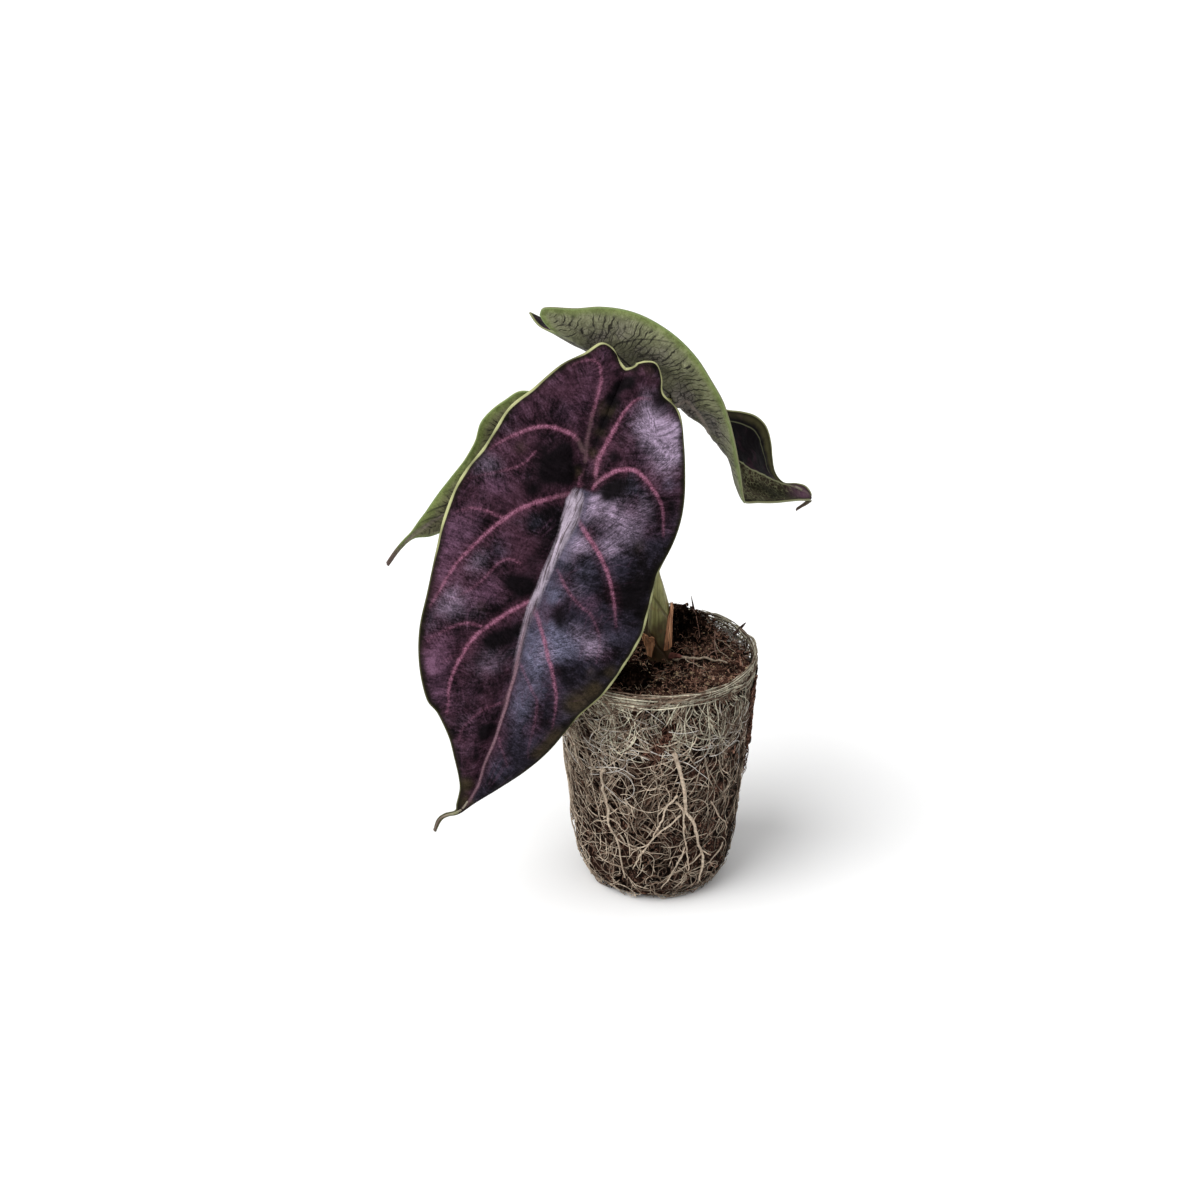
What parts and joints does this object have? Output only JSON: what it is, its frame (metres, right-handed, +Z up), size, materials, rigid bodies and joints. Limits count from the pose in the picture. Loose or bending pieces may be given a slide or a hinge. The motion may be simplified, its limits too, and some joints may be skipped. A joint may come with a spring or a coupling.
{
  "type": "alocasia azlanii plug plant",
  "caption": "Young alocasia with hanging, dark purple, net-veined leaves, standing in its own root-bound peat plug without a pot.",
  "frame": {"origin": "centre of the root plug's flat bottom, where it rests on the floor", "axes": "+Z up, +X to the picture's right, +Y away from its viewer"},
  "size_m": [0.125, 0.0911, 0.1764],
  "materials": {
    "peat": "crumbly, dark brown, matte",
    "roots": "pale beige, fibrous, matte",
    "thick_roots": "tan, fibrous, matte",
    "stalk": "green, brown at the base, half matte",
    "blade": "near-black purple with pink veins, silky sheen, pale green edge",
    "underside": "grey green with fine dark veins, matte",
    "dry_scale": "papery, orange brown, matte"
  },
  "bodies": {
    "root": {"soil_plug": "peat", "root_web": "roots", "stalks": "stalk", "leaf_front": "blade", "leaf_back": "underside", "leaf_left": "underside", "surface_roots": "thick_roots", "peat_flap": "peat", "dry_scale_left": "dry_scale", "dry_scale_right": "dry_scale"}
  },
  "joints": []
}
